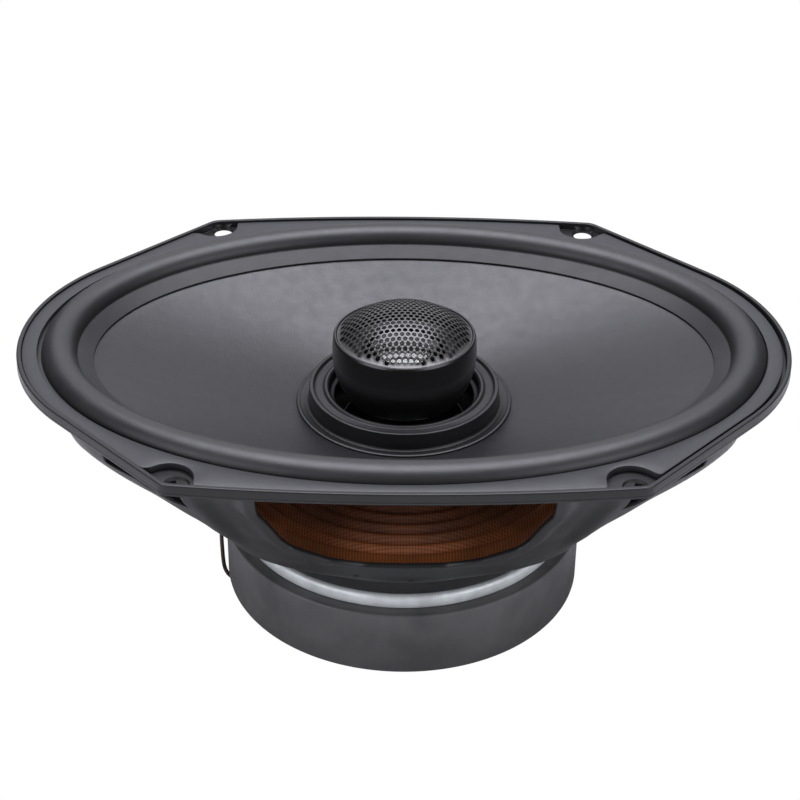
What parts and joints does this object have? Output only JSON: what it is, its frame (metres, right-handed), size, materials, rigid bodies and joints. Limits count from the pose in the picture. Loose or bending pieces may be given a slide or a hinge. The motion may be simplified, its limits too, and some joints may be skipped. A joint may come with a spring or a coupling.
{
  "type": "coaxial car loudspeaker",
  "caption": "Oval coaxial car loudspeaker: vented steel basket, grey cone in a rubber roll surround, caged dome tweeter on a centre post, ferrite magnet.",
  "frame": {"origin": "centre of the magnet system's flat rear face, on the axis of the voice coil", "axes": "+Z along the voice coil's axis to the listening side, X along the oval's long side, Y across it"},
  "size_m": [0.2352, 0.1692, 0.0999],
  "materials": {
    "black_paint": "satin",
    "steel": "satin",
    "zinc_plated_steel": "satin",
    "black_steel": "satin",
    "ferrite": "matte",
    "rubber_grey": "matte",
    "pulp_cone": "matte",
    "satin_black_plastic": "satin",
    "coil_aluminium": "satin",
    "copper_wire": "satin",
    "brown_cloth": "matte",
    "black_cloth": "matte",
    "fibre_board": "matte",
    "brass_blade": "satin",
    "wire_sleeve": "matte",
    "capacitor_sleeve": "gloss",
    "copper_braid": "matte"
  },
  "bodies": {
    "frame": {"basket": "black_paint", "gasket_ring": "rubber_grey", "frame_rivet_1": "steel", "frame_rivet_2": "steel", "frame_rivet_3": "steel", "frame_rivet_4": "steel", "top_plate": "zinc_plated_steel", "magnet": "ferrite", "yoke": "zinc_plated_steel", "surround": "rubber_grey", "spider": "brown_cloth", "tweeter_post": "steel", "post_sleeve": "satin_black_plastic", "post_nut": "steel", "tweeter_housing": "satin_black_plastic", "tweeter_cup": "zinc_plated_steel", "tweeter_magnet": "steel", "tweeter_pole_plate": "zinc_plated_steel", "tweeter_face_ring": "satin_black_plastic", "tweeter_suspension": "black_cloth", "tweeter_grille": "black_steel", "terminal_board": "fibre_board", "terminal_rivet": "steel", "terminal_tab_positive": "brass_blade", "terminal_tab_negative": "brass_blade", "tinsel_lead_positive": "copper_braid", "tinsel_lead_negative": "copper_braid", "tweeter_lead": "wire_sleeve", "crossover_capacitor": "capacitor_sleeve", "capacitor_lead": "wire_sleeve"},
    "cone": {"cone": "pulp_cone", "cone_collar": "satin_black_plastic", "voice_coil_former": "coil_aluminium", "voice_coil_winding": "copper_wire"},
    "dome": {"tweeter_dome": "coil_aluminium", "tweeter_coil": "copper_wire"}
  },
  "joints": [
    {"name": "cone_stroke", "type": "slide", "parent": "frame", "child": "cone", "axis": [0, 0, 1], "range_m": [-0.005, 0.005], "stiffness_N_per_m": 3000, "deforming": ["surround", "spider", "tinsel_lead_positive", "tinsel_lead_negative"]},
    {"name": "dome_stroke", "type": "slide", "parent": "frame", "child": "dome", "axis": [0, 0, 1], "range_m": [-0.0005, 0.0005], "stiffness_N_per_m": 800, "deforming": ["tweeter_suspension"]}
  ]
}
